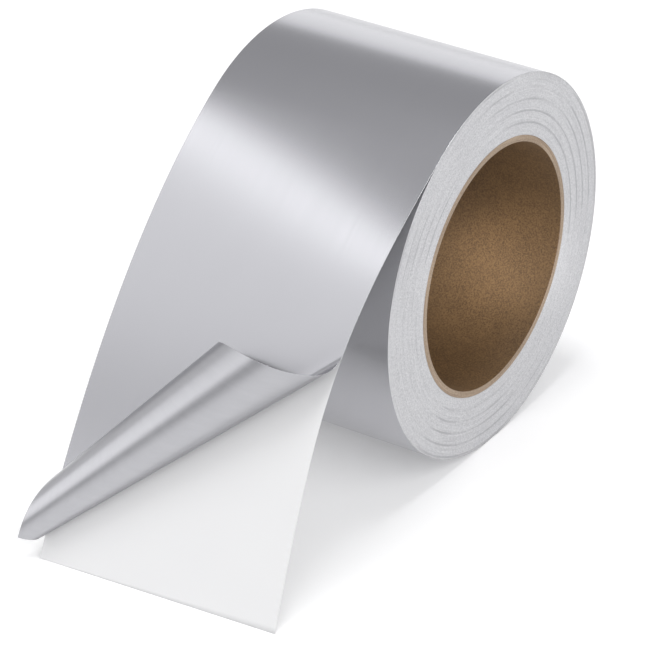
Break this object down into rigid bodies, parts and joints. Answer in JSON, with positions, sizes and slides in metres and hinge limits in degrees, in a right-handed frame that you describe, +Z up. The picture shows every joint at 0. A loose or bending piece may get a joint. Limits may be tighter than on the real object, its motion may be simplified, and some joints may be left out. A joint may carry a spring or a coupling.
{
  "type": "aluminium foil tape roll",
  "caption": "Roll of self-adhesive aluminium foil tape on a cardboard core, its free end run down to the surface with the foil peeled back and curled off the release paper.",
  "frame": {"origin": "on the roll's axis, midway along the core's bore", "axes": "+Y along the roll's axis, +Z up with the roll standing on its rim, -X towards the free end of the tape"},
  "size_m": [0.189, 0.0837, 0.1182],
  "materials": {
    "core_board": "plain spiral-wound board",
    "foil": "satin rolled foil",
    "liner_paper": "smooth coated release paper"
  },
  "bodies": {
    "root": {"core": "core_board", "wound_tape": "foil", "foil_tail": "foil", "liner_tail": "liner_paper"}
  },
  "joints": []
}
